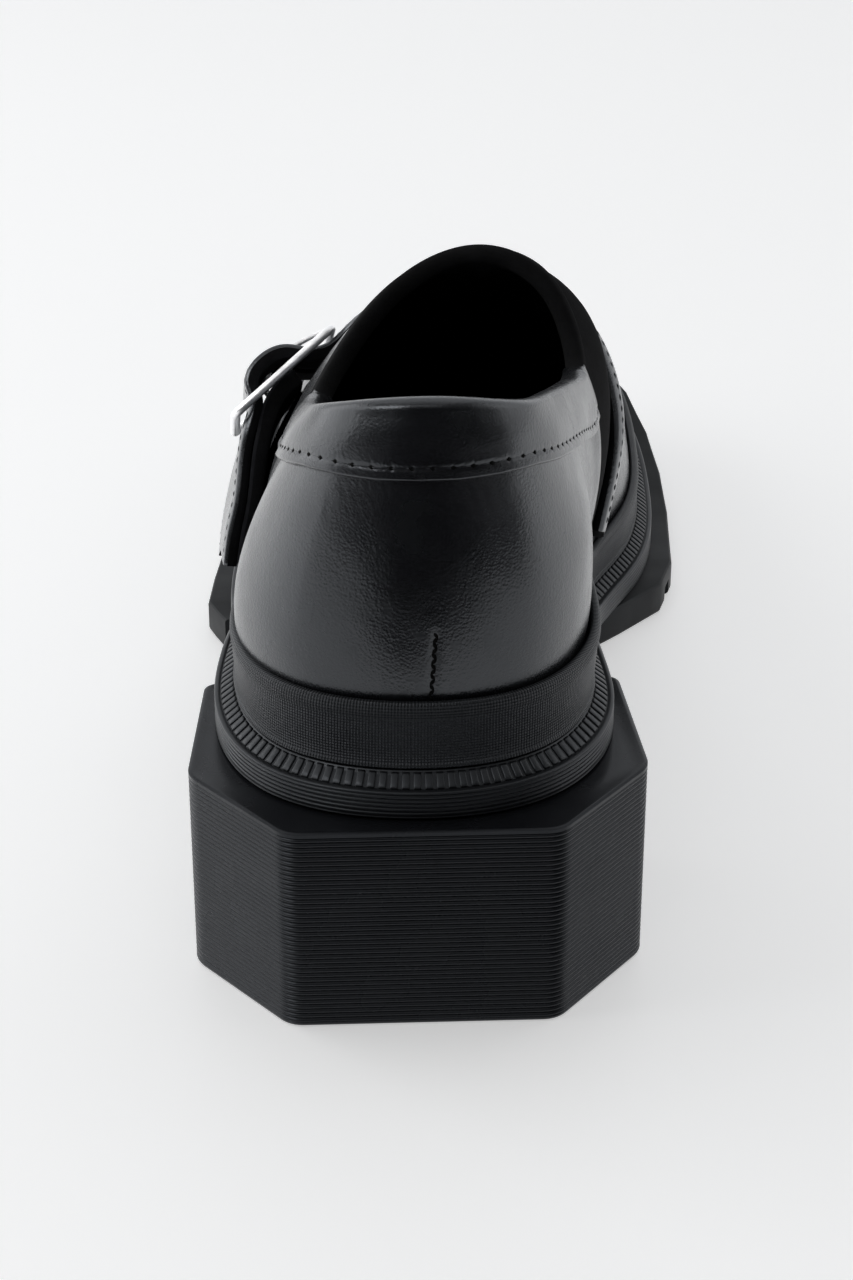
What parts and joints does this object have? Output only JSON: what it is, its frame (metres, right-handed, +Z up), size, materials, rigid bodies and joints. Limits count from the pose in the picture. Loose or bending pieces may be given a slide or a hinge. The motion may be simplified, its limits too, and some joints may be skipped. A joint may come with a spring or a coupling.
{
  "type": "buckle loafer",
  "caption": "Black leather left loafer with a buckled instep strap, folded collar, rand, grooved welt, faceted platform sole and a ribbed faceted block heel.",
  "frame": {"origin": "middle of the shoe's outline in plan, on the floor under the sole", "axes": "+Y from the heel to the toe, +X to the medial side, +Z up from the floor"},
  "size_m": [0.1168, 0.3085, 0.123],
  "materials": {
    "leather": "polished smooth black leather with a fine grain",
    "strap_leather": "black leather strap with matt cut edges",
    "rubber": "satin black moulded rubber",
    "lining": "matt black lining",
    "metal": "polished nickel"
  },
  "bodies": {
    "root": {"heel": "rubber", "outsole": "rubber", "midsole": "rubber", "rand": "rubber", "insole": "lining", "upper": "leather", "collar": "leather", "strap": "strap_leather", "chape": "strap_leather", "buckle": "metal", "prong": "metal"}
  },
  "joints": []
}
